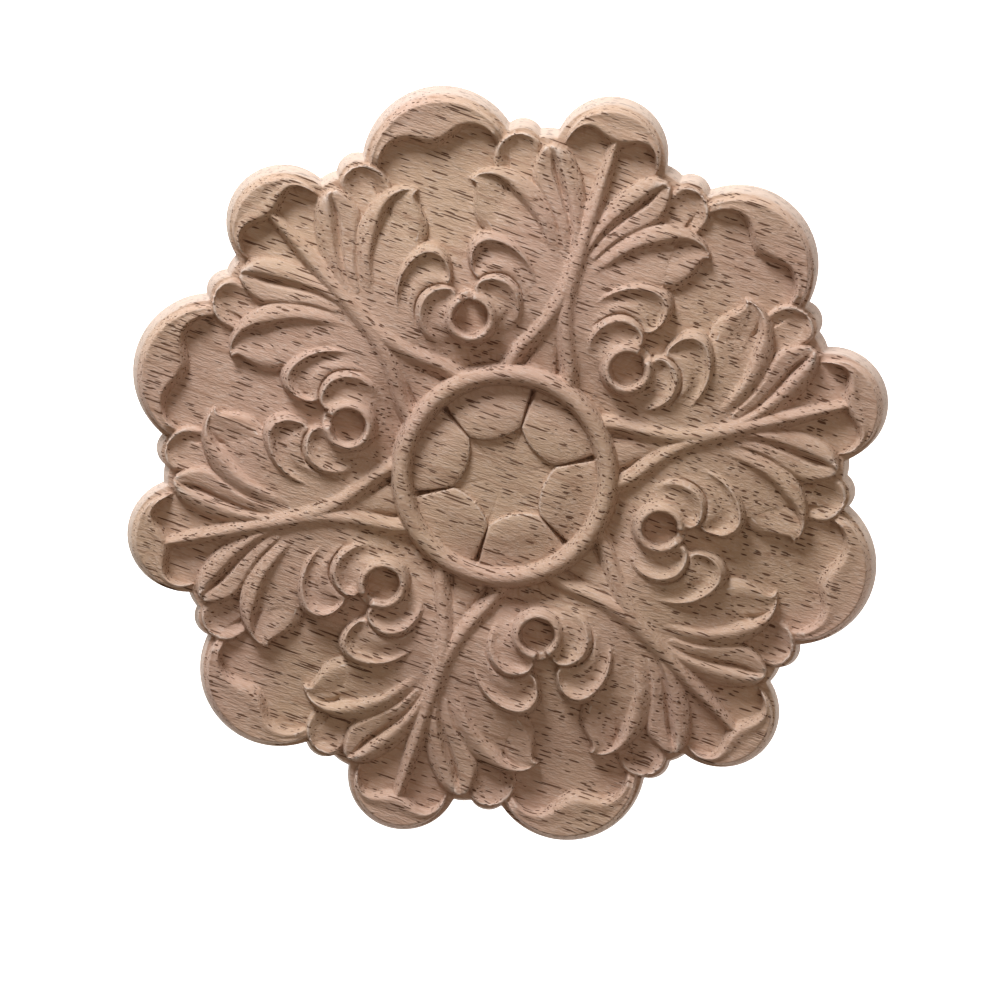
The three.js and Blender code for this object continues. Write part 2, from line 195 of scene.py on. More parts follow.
@dataclass
class CarvedForm:
    """A finger or curl of the leaf, drawn between two rails from its tip to its root.

    Attributes:
        first: The rail at share 0 of the section.
        second: The rail at its share 1.
        level: Heights along the form, which the section lifts.
        section: Gives the cross-section at a share along the form, 0 at the tip.
    """

    first: Sequence[Point]
    second: Sequence[Point]
    level: Sequence[float]
    section: Section
    columns: int = 48
    rows: int = 90

    def lay(self, sheet: Sheet) -> None:
        """Lays the form's surface into a sheet."""
        rails = [[Vector(point) for point in rail] for rail in (self.first, self.second)]

        def place(s: float, t: float) -> Vector:
            start, end = (run_through(rail, t) for rail in rails)
            spot = start.lerp(end, s)
            height = run_through(self.level, t) + across(self.section(t), s)
            return Vector((spot.x, spot.y, height))

        sheet.add(self.columns, self.rows, place)


def shoulder_section(t: float) -> Sequence[SectionPoint]:
    """A scoop between two thin edges."""
    scoop = between([(0, 0.2), (0.15, 0.8), (1, 0.9)], t)
    return [(0, -0.3, SHARP), (0.07, 0.15, SHARP), (0.5, 0.1 - scoop, ROUND), (0.93, 0.1, SHARP),
            (1, -0.3, SHARP)]


def tip_finger_section(t: float) -> Sequence[SectionPoint]:
    """Two swells either side of a crease, which opens from the tip and fades at the root."""
    crease = between([(0, 0), (0.15, 0.1), (0.36, 1.1), (0.75, 1.1), (1, 0)], t)
    return [
        (0, -0.35, SHARP), (0.14, 0.3, ROUND), (0.4, 0.15, ROUND), (0.5, 0.1 - 0.9 * crease, SHARP),
        (0.7, 0.5, ROUND), (1, -0.35, SHARP),
    ]


def blade_section(t: float) -> Sequence[SectionPoint]:
    """A smooth blade, a sharp incised vein and a rolled outer rim."""
    vein = between([(0, 0.75), (0.375, 0.7), (0.5, 0.62), (0.75, 0.64), (0.875, 0.52),
                    (1, 0.45)], t)
    deep = between([(0, 0), (0.2, 0), (0.34, 0.35), (0.5, 1), (0.8, 1), (1, 0)], t)
    fade = between([(0, 1), (0.75, 1), (1, 0)], t)
    roll = between([(0, 0.4), (0.42, 0.75), (0.75, 0.75), (1, 0)], t)
    dish = between([(0, 0.3), (0.45, 1), (1, 1)], t) * fade
    return [
        (0, -0.35 * fade, SHARP), (0.16, 0.3 * fade, ROUND),
        (vein - 0.1, 0.25 * fade - 0.5 * dish, ROUND),
        (vein, 0.1 * fade - 0.35 * dish - deep, SHARP), (0.45 + 0.55 * vein, roll, ROUND),
        (1, -0.1, SHARP),
    ]


def curl_section(t: float) -> Sequence[SectionPoint]:
    """A thin raised rim that closes round the tip, over a broad scoop and a low belly."""
    scoop = between([(0, 0), (0.08, 0.05), (0.24, 1), (0.75, 0.9), (1, 0.1)], t)
    fade = between([(0, 1), (0.7, 1), (1, 0)], t)
    return [
        (0, -0.35 * fade, SHARP), (0.14, 0.55 * fade, SHARP), (0.42, 0.55 * fade - scoop, ROUND),
        (0.85, 0.45 * fade - 0.35 * scoop, ROUND), (1, 0.1 * fade, SHARP),
    ]


def inner_curl_section(t: float) -> Sequence[SectionPoint]:
    """A thin outer rim over a scoop that runs round the eye."""
    scoop = between([(0, 0), (0.08, 0.2), (0.25, 1), (0.75, 0.8), (1, 0)], t)
    fade = between([(0, 1), (0.65, 1), (1, 0)], t)
    return [
        (0, -0.3 * fade, SHARP), (0.15, 0.45 * fade, SHARP), (0.55, 0.45 * fade - scoop, ROUND),
        (1, 0.3 * fade - 0.35 * scoop, SHARP),
    ]


@dataclass
class Leaf:
    """The fingers and curls of half a leaf, beside a big lobe's axis."""

    shoulder: CarvedForm = field(default_factory=lambda: CarvedForm(
        first=[(9.8, 42.15), (8.3, 41.75), (7.3, 40.9), (6.8, 39.7), (6.6, 38)],
        second=[(10.6, 42.15), (12, 41.6), (12.8, 40.6), (12.7, 39.3), (11.8, 37)],
        level=[5.75, 5.6, 5.4, 5.15, 4.9],
        section=shoulder_section,
    ))
    tip_finger: CarvedForm = field(default_factory=lambda: CarvedForm(
        first=[(13.3, 39.8), (12.5, 39.1), (11.7, 38), (11.2, 36.8), (11.2, 35.6), (11.9, 33.6),
               (12.8, 30.6), (13, 27)],
        second=[(14.6, 39.8), (15.7, 39.1), (16.5, 37.9), (16.9, 36.4), (17.2, 34.4), (17, 31.4),
                (16.2, 28.2), (14.8, 25.4)],
        level=[5.7, 5.75, 5.8, 5.85, 5.95, 6.15, 6.5, 6.6],
        section=tip_finger_section,
    ))
    blade: CarvedForm = field(default_factory=lambda: CarvedForm(
        first=[(3.5, 37.7), (3.9, 36.9), (3.5, 35.6), (3.1, 34), (3.1, 32.8), (3.7, 31.4),
               (5.6, 29.4), (8.6, 26.6), (10.3, 23.6)],
        second=[(3.8, 37.95), (5.4, 38.4), (7.4, 38.2), (9.2, 37.3), (10.9, 35.8), (12, 33.9),
                (12.7, 31.2), (12.9, 28), (12.5, 24.6)],
        level=[5.8, 5.85, 5.9, 6, 6.1, 6.2, 6.45, 6.7, 6.6],
        section=blade_section,
    ))
    curl: CarvedForm = field(default_factory=lambda: CarvedForm(
        first=[(1.8, 25.6), (1.35, 26.4), (1.2, 27.6), (1.4, 29.1), (2.3, 30.4), (3.8, 30.9),
               (5.6, 30.3), (7.3, 28.9), (8.5, 26.9), (9.1, 24.6), (9.2, 22.4)],
        second=[(2.2, 25.5), (2.6, 25.7), (3.2, 25.85), (4, 25.8), (4.9, 25.6), (5.7, 25.1),
                (6.4, 24.3), (6.9, 23.2), (7.1, 22.1), (7.2, 21), (7.1, 19.9)],
        level=[7.2, 7.4, 7.5, 7.5, 7.5, 7.45, 7.3, 6.7],
        section=curl_section,
    ))
    inner_curl: CarvedForm = field(default_factory=lambda: CarvedForm(
        first=[(1.3, 24.5), (1.8, 25.2), (2.7, 25.6), (4, 25.6), (5.3, 25.1), (6.3, 24),
               (6.8, 22.5), (6.7, 20.9), (6.1, 19.4), (5.1, 18.1)],
        second=[(1.3, 23.7), (1.8, 23.3), (2.4, 22.9), (2.9, 22.2), (3.1, 21.4), (3.2, 20.5),
                (3, 19.7), (2.6, 19), (2.1, 18.4), (1.4, 17.9)],
        level=[7.8, 7.9, 8, 8.05, 8, 7.85, 7.5, 6.7],
        section=inner_curl_section,
    ))

    def lay(self, sheet: Sheet) -> None:
        """Lays every finger and curl into a sheet."""
        for form in (self.shoulder, self.tip_finger, self.blade, self.curl, self.inner_curl):
            form.lay(sheet)


@dataclass
class Rib:
    """The leaf's rounded midrib, parting into two stems that run down to the ring.

    Attributes:
        line: Half of it from the tip, in steps out along the leaf's axis and aside from it.
        widths: Widths along the line.
        crests: Heights of its top along the line.
        drop: How far its sides fall below its top.
        wedge_start: Where the low wedge between the stems starts on the leaf's axis.
        wedge_length: How far it runs in towards the ring.
        wedge_half_widths: Half its widths along it.
        wedge_heights: Its heights along it.
        wedge_bevel: How far its sides are rounded down.
    """

    line: Sequence[Point] = (
        (44.6, 0), (40, 0), (35.5, 0), (31, 0), (28, 0), (25.5, 0.1), (23.2, 0.5), (20.6, 1.3),
        (18.1, 2.35), (15.9, 3.4), (13.1, 4.15),
    )
    widths: Sequence[float] = (1.5, 2.4, 3, 3, 2.5, 2.5)
    crests: Sequence[float] = (5.7, 6.3, 6.95, 7.5, 7.8, 8, 8, 7.9, 7.7, 7.4, 7.1)
    drop: float = 1.1
    wedge_start: float = 20.6
    wedge_length: float = 7.0
    wedge_half_widths: Sequence[float] = (0.3, 1.2, 2.2)
    wedge_heights: Sequence[float] = (7, 6.8, 6.6)
    wedge_bevel: float = 0.3

    def lay(self, sheet: Sheet) -> None:
        """Lays both mirrored halves of the rib into a sheet."""
        section = [(0, -self.drop, SHARP), (0.5, 0, ROUND), (1, -self.drop, SHARP)]
        step = 0.01
        for side in (1, -1):
            points = [Vector(by_leaf(out, side * aside)) for out, aside in self.line]

            def place(s: float, t: float) -> Vector:
                near = min(t, 1 - step)
                way = (run_through(points, near + step) - run_through(points, near)).normalized()
                offset = (s - 0.5) * run_through(self.widths, t)
                spot = run_through(points, t) + Vector((-way.y, way.x)) * offset
                return Vector((spot.x, spot.y, run_through(self.crests, t) + across(section, s)))

            sheet.add(20, 120, place)

    def lay_wedge(self, sheet: Sheet) -> None:
        """Lays the low wedge left standing between the two stems."""

        def place(s: float, t: float) -> Vector:
            aside = 2 * s - 1
            wide = run_through(self.wedge_half_widths, t) * aside
            height = run_through(self.wedge_heights, t) - self.wedge_bevel * abs(aside) ** 3
            point = Vector((wide, self.wedge_start - self.wedge_length * t, height))
            return turned(point, HALF_SECTOR)

        sheet.add(12, 16, place)


@dataclass
class Lobe:
    """A round lobe of the rim, with a lip rolled up between its edge and a bracket line.

    Attributes:
        centre: Distance of its centre from the middle.
        radius: Its radius.
        crest: Height of the rolled lip.
        reach: How far the lip runs round it on either side, in degrees.
        half_width: Half the width of the bracket line.
        pocket: Distance of each pocket from its axis.
        pocket_out: How far out the pockets reach.
        bump: How far the bump between them comes in.
        ends: How far out the bracket line ends.
        turn: Angle of its axis from the big lobe's.
        edge_height: Height of the lip's edge.
        horn: Share of the lip over which each end fades out.
    """

    centre: float
    radius: float
    crest: float
    reach: float
    half_width: float
    pocket: float
    pocket_out: float
    bump: float
    ends: float
    turn: float = 0.0
    edge_height: float = 5.85
    horn: float = 0.2

    def bracket(self, share: float) -> Vector:
        """The lip's inner edge: a bump in the middle between two scooped pockets.

        Args:
            share: -1 to 1 from end to end.

        Returns:
            The plan point before the lobe is turned to its place.
        """
        wide = self.half_width * math.sin(share * math.pi / 2)
        out = abs(wide)
        if out < self.pocket:
            bump = self.bump * (1 + math.cos(math.pi * out / self.pocket)) / 2
            return Vector((wide, self.pocket_out - bump))
        run = (out - self.pocket) / (self.half_width - self.pocket)
        drop = (self.pocket_out - self.ends) * (1 - math.sqrt(max(0.0, 1 - run * run)))
        return Vector((wide, self.pocket_out - drop))

    def lay(self, sheet: Sheet, rim: "Rim") -> None:
        """Lays the lip into a sheet.

        Args:
            sheet: The sheets to add to.
            rim: The rim, at whose top edge the lip starts.
        """
        edge = self.radius - rim.edge_inset

        def place(s: float, t: float) -> Vector:
            share = 2 * t - 1
            angle = math.radians(self.reach) * share
            outer = Vector((math.sin(angle), math.cos(angle))) * edge + Vector((0, self.centre))
            inner = self.bracket(share)
            first = min(0.5 * rim.draft / (inner - outer).length, 0.3)
            section = [
                (0, rim.level, SHARP), (first, self.edge_height, SHARP),
                (0.45, self.edge_height - 0.1, ROUND), (0.78, self.crest, ROUND),
                (1, rim.level + 0.3, SHARP),
            ]
            fade = min(1.0, (1 - abs(share)) / self.horn)
            height = rim.level + (across(section, s) - rim.level) * math.sqrt(fade)
            spot = outer.lerp(inner, s)
            return turned(Vector((spot.x, spot.y, height)), self.turn)

        sheet.add(36, 140, place)


def lobes() -> tuple[Lobe, Lobe]:
    """The big lobe between two leaves and the smaller one at a leaf's tip."""
    big = Lobe(centre=39.75, radius=10.25, crest=5.9, reach=80, half_width=7.5, pocket=4.3,
               pocket_out=44.1, bump=1.6, ends=41)
    tip = Lobe(centre=42.7, radius=7.3, crest=6.1, reach=88, half_width=5.9, pocket=3.8,
               pocket_out=45.1, bump=1.2, ends=42, turn=HALF_SECTOR)
    return big, tip


@dataclass
class Rim:
    """The scalloped outline and its rounded, drafted edge.

    Attributes:
        big_lobe: The lobe between two leaves.
        tip_lobe: The lobe at a leaf's tip.
        back_edge: Height up to which the edge stands upright.
        draft: Lean of the edge, of which 0.65 is reached at its top.
        level: Height of the top edge.
        small_rounds: (across, up, radius) of the small lobes between the others.
    """

    big_lobe: Lobe
    tip_lobe: Lobe
    back_edge: float = 1.0
    draft: float = 1.6
    level: float = 4.2
    small_rounds: Sequence[tuple[float, float, float]] = ((10.8, 41.2, 2.6), (13.2, 37, 5))

    @property
    def edge_inset(self) -> float:
        """How far the top edge lies inside the outline."""
        return 0.65 * self.draft

    def reach(self, angle: float) -> float:
        """How far out the rim reaches at an angle from a big lobe's axis."""
        tip = by_leaf(self.tip_lobe.centre)
        rounds = [
            (0.0, self.big_lobe.centre, self.big_lobe.radius),
            (tip[0], tip[1], self.tip_lobe.radius),
            *self.small_rounds,
        ]
        x, y = math.sin(angle), math.cos(angle)
        far = 0.0
        for centre_u, centre_v, radius in rounds:
            along = centre_u * x + centre_v * y
            aside = centre_u * y - centre_v * x
            if abs(aside) < radius:
                far = max(far, along + math.sqrt(radius**2 - aside**2))
        return far

    def wall(self, share: float) -> tuple[float, float]:
        """The edge's profile from the top edge down to the back.

        Args:
            share: 0 at the top edge, 1 at the back.

        Returns:
            How far inside the outline, and how high.
        """
        profile = [
            Vector((self.edge_inset, self.level)), Vector((0.3 * self.draft, 0.65 * self.level)),
            Vector((0, self.back_edge)), Vector((0, 0)),
        ]
        inset, height = run_through(profile, share)
        return max(0.0, inset), height


@dataclass
class Eye:
    """The round eye between two curls: a blind hole in a raised rim, open outwards.

    Attributes:
        centre: Distance of the eye from the middle.
        hole: Radius of the hole.
        rim_width: Width of the raised rim.
        gap: Width of the rim's opening.
        saddle: Height of the rim in its opening.
        floor: Height of the hole's floor.
        shoulder: How far either side of the gap's edge the rim rises.
    """

    centre: float = 20.8
    hole: float = 2.3
    rim_width: float = 1.05
    gap: float = 1.7
    saddle: float = 7.4
    floor: float = 6.8
    shoulder: float = 0.3

    def lay(self, sheet: Sheet) -> None:
        """Lays the raised rim, with a low saddle at its opening, into a sheet."""
        outer = self.hole + self.rim_width
        section = [(0, 7.9, SHARP), (0.7, 8.8, ROUND), (1, 8.65, SHARP)]
        opening = [(self.gap / 2 - self.shoulder, 0), (self.gap / 2 + self.shoulder, 1)]

        def place(s: float, t: float) -> Vector:
            angle = math.pi / 2 + t * 2 * math.pi
            radius = outer + (self.hole - outer) * s
            along = min(t, 1 - t) * 2 * math.pi * outer
            rise = between(opening, along)
            height = self.saddle + (across(section, s) - self.saddle) * rise
            u, v = radius * math.cos(angle), radius * math.sin(angle)
            return Vector((u, self.centre + v, height))

        sheet.add(24, 160, place)

    def in_hole(self, u: float, v: float) -> bool:
        """Whether a plan point lies in the hole."""
        return math.hypot(u, v - self.centre) < self.hole


@dataclass
class Flower:
    """The rounded ring and the six pillowed petals inside it.

    Attributes:
        ring_radius: Distance of the ring's crest from the middle.
        ring_width: Its width.
        ring_foot: Height of its sides.
        ring_rise: How far its crest rises over them.
        slot_at_ring: Width at the ring of the slot between two petals.
        petal_centre: Distance from the middle at which a petal is full wide.
        petal_wide: Half its full width.
        petal_long: How far its round end reaches in from there.
        petal_edge: How far its edge stands over the slope below.
        petal_rise: How far its top rises over its edge.
        petal_slope: (distance, height) of the slope below the petals.
        slot_floor: (distance, height) of the slots' floor.
    """

    ring_radius: float = 13.1
    ring_width: float = 2.6
    ring_foot: float = 6.6
    ring_rise: float = 1.7
    slot_at_ring: float = 1.1
    petal_centre: float = 9.6
    petal_wide: float = 5.7
    petal_long: float = 4.6
    petal_edge: float = 0.25
    petal_rise: float = 0.5
    petal_slope: Sequence[Point] = ((5, 6.75), (8, 6.55), (11.8, 5.9))
    slot_floor: Sequence[Point] = ((6, 6.9), (8.5, 5.3), (11.8, 4.8))

    def ring_height(self, out: float) -> float:
        """The ring's height at a distance from the middle, or 0 beside it."""
        offset = (out - self.ring_radius) / (self.ring_width / 2)
        if abs(offset) >= 1:
            return 0.0
        return self.ring_foot + self.ring_rise * math.sqrt(1 - offset**2)

    def in_slot(self, u: float, v: float) -> bool:
        """Whether a plan point of half a sector lies in the slot between two petals."""
        out = math.hypot(u, v)
        aside = v * math.sin(HALF_SECTOR) - u * math.cos(HALF_SECTOR)
        slot = self.slot_at_ring * between([(5.5, 0.1), (self.ring_radius, 1)], out)
        return out < self.ring_radius and aside < slot / 2

    def petal_height(self, u: float, v: float) -> float:
        """The petal's height at a plan point of half a sector, or 0 beside it."""
        x = u / self.petal_wide
        y = min(0.0, v - self.petal_centre) / self.petal_long
        share = math.hypot(x, y)
        out = math.hypot(u, v)
        if share >= 1 or out > self.ring_radius or self.in_slot(u, v):
            return 0.0
        round_over = math.sqrt(1 - share**3)
        return between(self.petal_slope, out) + self.petal_edge + self.petal_rise * round_over


@dataclass
class Ground:
    """The leaf surface, and the ground cut down below it between two leaves.

    Attributes:
        surface: (distance, height) of the leaf surface.
        side: Plan points along the side of the cut, from the curls out to the rim.
        floor: Heights along the cut.
        swell: How far its middle swells up.
    """

    surface: Sequence[Point] = (
        (0, 6.7), (8, 6.3), (11.8, 5.7), (14.6, 5.7), (17.5, 6.6), (21, 7.3), (24, 7.3), (27, 7.1),
        (33, 6.3), (37, 5.4), (40, 4.8), (43.2, 4.4), (50, 4.2),
    )
    side: Sequence[Point] = (
        (0.8, 22.6), (1.5, 24.6), (1.9, 26.6), (3.2, 29.5), (6, 32.5), (7.8, 36), (8.8, 39.5),
        (9.2, 46),
    )
    floor: Sequence[float] = (6.7, 6.4, 6.1, 5.6, 5.1, 4.7, 4.4, 4.2)
    swell: float = 0.35

    def cut(self) -> BVHTree:
        """The ground between two leaves as a search tree."""
        rail = [Vector(point) for point in self.side]
        sheet = Sheet()

        def place(s: float, t: float) -> Vector:
            spot = run_through(rail, t)
            aside = 2 * s - 1
            swell = self.swell * math.sin(math.pi * t) * (1 - aside * aside)
            return Vector((spot.x * aside, spot.y, run_through(self.floor, t) + swell))

        sheet.add(12, 60, place)
        return sheet.tree()


@dataclass
class Rosette:
    """The whole carved rosette, draped over its forms and turned round its middle.

    Attributes:
        columns: Faces across half a sector before it is thinned.
        rows: Faces from the middle out to the rim's top edge.
        wall_rows: Faces down the rim's edge.
        blend: Height difference below which two surfaces run softly together.
        wall_slope: The steepest rise over run that a tapered cutter leaves.
        draft_passes: How often the walls are leant back to it.
        soften_passes: How often the draped surface is smoothed.
        faces: About how many triangles half a sector keeps.
        seam_snap: How near a mirror plane a border point is moved onto it.
        back_snap: How near the back a border point is moved onto it.
        weld: How near two points are joined.
        smooth_angle: Edges that bend less are shaded smooth.
    """

    rim: Rim
    leaf: Leaf = field(default_factory=Leaf)
    rib: Rib = field(default_factory=Rib)
    eye: Eye = field(default_factory=Eye)
    flower: Flower = field(default_factory=Flower)
    ground: Ground = field(default_factory=Ground)
    columns: int = 200
    rows: int = 420
    wall_rows: int = 16
    blend: float = 0.35
    wall_slope: float = 4.2
    draft_passes: int = 5
    soften_passes: int = 2
    faces: int = 14500
    seam_snap: float = 0.04
    back_snap: float = 0.05
    weld: float = 2e-3
    smooth_angle: float = math.radians(60)

    def build(self) -> bpy.types.Object:
        """Builds the rosette as one closed mesh in the frame's metres.

        Returns:
            The finished object, at the origin.
        """
        bm = self._draped(self._height(self._forms(), self.ground.cut()))
        self._draft_walls(bm)
        inner = [vert for vert in bm.verts if not vert.is_boundary]
        for _ in range(self.soften_passes):
            bmesh.ops.smooth_vert(bm, verts=inner, factor=0.5, use_axis_x=True, use_axis_y=True,
                                  use_axis_z=True)
        bm = thinned(bm, self.faces)
        self._snap_border(bm)
        self._turn_round(bm)
        self._even_seams(bm)
        self._close_back(bm)
        self._mark_edges(bm)
        return self._stand_up(bm)

    def _forms(self) -> BVHTree:
        """Every raised form of half a sector, as a search tree."""
        sheet = Sheet()
        self.leaf.lay(sheet)
        self.rib.lay(sheet)
        self.rib.lay_wedge(sheet)
        self.eye.lay(sheet)
        self.rim.big_lobe.lay(sheet, self.rim)
        self.rim.tip_lobe.lay(sheet, self.rim)
        return sheet.tree()

    def _height(self, forms: BVHTree, cut: BVHTree) -> Height:
        """Prepares the carved height over the plan points of half a sector.

        Args:
            forms: The raised forms.
            cut: The ground between two leaves.

        Returns:
            A function that gives the height at a plan point.
        """
        down = Vector((0, 0, -1))
        above = 50
        nudge = 1e-4

        def top(tree: BVHTree, u: float, v: float) -> float:
            hit = tree.ray_cast(Vector((u + nudge, v + nudge, above)), down)[0]
            return hit.z if hit else 0.0

        def height(u: float, v: float) -> float:
            if self.eye.in_hole(u, v):
                return self.eye.floor
            out = math.hypot(u, v)
            base = top(cut, u, v) or between(self.ground.surface, out)
            if self.flower.in_slot(u, v):
                base = min(base, between(self.flower.slot_floor, out))
            carved = max(top(forms, u, v), self.flower.ring_height(out),
                         self.flower.petal_height(u, v))
            gap = max(self.blend - abs(base - carved), 0) if carved else 0
            return max(base, carved) + gap * gap / (4 * self.blend)

        return height

    def _draped(self, height: Height) -> BMesh:
        """Half a sector's surface, from the middle out over the rim and down to the back.

        Args:
            height: Gives the carved height at a plan point.

        Returns:
            The open mesh.
        """
        bm = bmesh.new()
        rows = self.rows + self.wall_rows
        grid = bmesh.ops.create_grid(bm, x_segments=self.columns, y_segments=rows, size=0.5)
        for vert in grid["verts"]:
            angle = HALF_SECTOR * (vert.co.x + 0.5)
            row = round((vert.co.y + 0.5) * rows)
            reach = self.rim.reach(angle)
            if row <= self.rows:
                out = (reach - self.rim.edge_inset) * row / self.rows
                u, v = out * math.sin(angle), out * math.cos(angle)
                vert.co = Vector((u, v, height(u, v)))
            else:
                inset, high = self.rim.wall((row - self.rows) / self.wall_rows)
                out = reach - inset
                vert.co = Vector((out * math.sin(angle), out * math.cos(angle), high))
        bmesh.ops.remove_doubles(bm, verts=bm.verts[:], dist=1e-4)
        return bm

    def _draft_walls(self, bm: BMesh) -> None:
        """Leans every steep wall back to the slope that a tapered cutter leaves."""
        edges = []
        for edge in bm.edges:
            a, b = edge.verts
            reach = self.wall_slope * (a.co.xy - b.co.xy).length
            if max(a.co.z, b.co.z) > self.rim.level and reach:
                edges.append((a, b, reach))
        for _ in range(self.draft_passes):
            for a, b, reach in edges:
                if a.co.z - b.co.z > reach:
                    b.co.z = a.co.z - reach
                elif b.co.z - a.co.z > reach:
                    a.co.z = b.co.z - reach

    def _snap_border(self, bm: BMesh) -> None:
        """Moves the border's points onto the two mirror planes and onto the back."""
        seams = (Vector((1, 0, 0)), Vector((math.cos(HALF_SECTOR), -math.sin(HALF_SECTOR), 0)))
        for vert in bm.verts:
            if not vert.is_boundary:
                continue
            for seam in seams:
                if abs(vert.co.dot(seam)) < self.seam_snap:
                    vert.co -= seam * vert.co.dot(seam)
            if vert.co.z < self.back_snap:
                vert.co.z = 0.0

    def _turn_round(self, bm: BMesh) -> None:
        """Mirrors half a sector and turns it round the middle, welded into one sheet."""
        bmesh.ops.mirror(bm, geom=bm.verts[:] + bm.edges[:] + bm.faces[:], axis="X",
                         merge_dist=self.weld / 2)
        bmesh.ops.recalc_face_normals(bm, faces=bm.faces[:])
        bmesh.ops.spin(bm, geom=bm.verts[:] + bm.edges[:] + bm.faces[:], axis=(0, 0, 1),
                       cent=(0, 0, 0), angle=-2 * math.pi * (FOLD - 1) / FOLD, steps=FOLD - 1,
                       use_duplicate=True)
        bmesh.ops.remove_doubles(bm, verts=bm.verts[:], dist=self.weld)

    def _even_seams(self, bm: BMesh) -> None:
        """Smooths the heights where two half sectors meet."""
        near = 2e-3
        seam = [vert for vert in bm.verts
                if vert.co.z > self.rim.level
                and abs(math.sin(FOLD * math.atan2(*vert.co.xy))) < near]
        bmesh.ops.smooth_vert(bm, verts=seam, factor=0.5, use_axis_z=True)

    @staticmethod
    def _close_back(bm: BMesh) -> None:
        """Fills the flat back."""
        border = [edge for edge in bm.edges if edge.is_boundary]
        log.info("open edges before the back is closed: %d", len(border))
        bmesh.ops.holes_fill(bm, edges=border, sides=0)
        bmesh.ops.recalc_face_normals(bm, faces=bm.faces[:])

    @staticmethod
    def _mark_edges(bm: BMesh) -> None:
        """Stores how sharply the carving bends out or in, for the painted highlights on edges and
        the painted shade in the hollows.
        """
        bm.normal_update()
        bend = bm.verts.layers.float.new("bend")
        for vert in bm.verts:
            if vert.co.z == 0:
                continue
            near = [edge.other_vert(vert).co for edge in vert.link_edges]
            offset = vert.co - sum(near, Vector()) / len(near)
            reach = sum(edge.calc_length() for edge in vert.link_edges) / len(near)
            vert[bend] = offset.dot(vert.normal) / reach

    def _stand_up(self, bm: BMesh) -> bpy.types.Object:
        """Scales the drawn rosette to the frame's box and stands it upright.

        Args:
            bm: The closed mesh in the flat plan. It is freed.

        Returns:
            The object.
        """
        low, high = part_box("rosette")
        plan = (high.z - low.z) / DRAWN_DIAMETER
        rise = (high.y - low.y) / DRAWN_THICKNESS
        upright = Matrix(((plan, 0, 0, 0), (0, 0, -rise, 0), (0, plan, 0, 0), (0, 0, 0, 1)))
        bmesh.ops.transform(bm, matrix=upright, verts=bm.verts[:])
        bmesh.ops.triangulate(bm, faces=[face for face in bm.faces if len(face.verts) > 4])
        mesh = bpy.data.meshes.new("carved_rosette")
        bm.to_mesh(mesh)
        bm.free()
        mesh.polygons.foreach_set("use_smooth", [True] * len(mesh.polygons))
        mesh.set_sharp_from_angle(angle=self.smooth_angle)
        return added("carved_rosette", mesh)


def added(name: str, data: bpy.types.ID) -> bpy.types.Object:
    """A new object in the scene."""
    thing = bpy.data.objects.new(name, data)
    bpy.context.scene.collection.objects.link(thing)
    return thing


def thinned(bm: BMesh, faces: int) -> BMesh:
    """The same surface with fewer, larger faces where it is flat.

    Args:
        bm: The dense mesh. It is freed.
        faces: About how many triangles to keep.

    Returns:
        A new mesh.
    """
    mesh = bpy.data.meshes.new("dense")
    bm.to_mesh(mesh)
    bm.free()
    dense = added("dense", mesh)
    thin = dense.modifiers.new("thin", "DECIMATE")
    thin.ratio = faces / (2 * len(mesh.polygons))
    thin.use_collapse_triangulate = True
    light = bmesh.new()
    light.from_object(dense, bpy.context.evaluated_depsgraph_get())
    bpy.data.objects.remove(dense)
    bpy.data.meshes.remove(mesh)
    return light


@dataclass(frozen=True)
class Ramp:
    """A smooth rise or fall of a result over a band of values, level beyond it."""

    low: float
    high: float
    start: float = 0.0
    end: float = 1.0


class Graph:
    """Short ways to add and join shader nodes in one node tree."""

    def __init__(self, tree: bpy.types.NodeTree) -> None:
        """Takes the tree to work in."""
        self.tree = tree

    def add(self, kind: str, settings: dict | None = None,
            **inputs: Socket | float | Sequence[float]) -> bpy.types.Node:
        """Adds a node.

        Args:
            kind: The node's type name without its Shader prefix.
            settings: Properties of the node.
            **inputs: Values or sockets for its inputs, by name with _ for a space, or i0, i1 and
                so on for inputs by their number.

        Returns:
            The node.
        """
        node = self.tree.nodes.new("ShaderNode" + kind)
        for name, value in (settings or {}).items():
            setattr(node, name, value)
        for name, value in inputs.items():
            numbered = name[0] == "i" and name[1:].isdigit()
            socket = node.inputs[int(name[1:]) if numbered else name.replace("_", " ")]
            if isinstance(value, bpy.types.NodeSocket):
                self.tree.links.new(value, socket)
            else:
                socket.default_value = value
        return node

    def math(self, operation: str, first: Socket | float, second: Socket | float) -> Socket:
        """The result of a two-value sum, by the sum's name."""
        return self.add("Math", {"operation": operation}, i0=first, i1=second).outputs[0]

    def ramp(self, value: Socket, ramp: Ramp) -> Socket:
        """The result of a ramp over a value."""
        settings = {"interpolation_type": "SMOOTHSTEP"}
        node = self.add("MapRange", settings, i0=value, i1=ramp.low, i2=ramp.high, i3=ramp.start,
                        i4=ramp.end)
        return node.outputs[0]

    def mix(self, share: Socket, first: Socket | Colour, second: Socket | Colour) -> Socket:
        """A colour between two, by how much of the second shows."""
        node = self.add("Mix", {"data_type": "RGBA"}, i0=share, i6=first, i7=second)
        return node.outputs[2]


@dataclass(frozen=True)
class PoreLayer:
    """Pores of one size.

    Attributes:
        length: Share of the wood's pore length.
        pitch: Share of its pore pitch.
        least: Reach of the slimmest from a cell's middle. Below 0 none shows.
        most: Reach of the widest.
    """

    length: float
    pitch: float
    least: float
    most: float


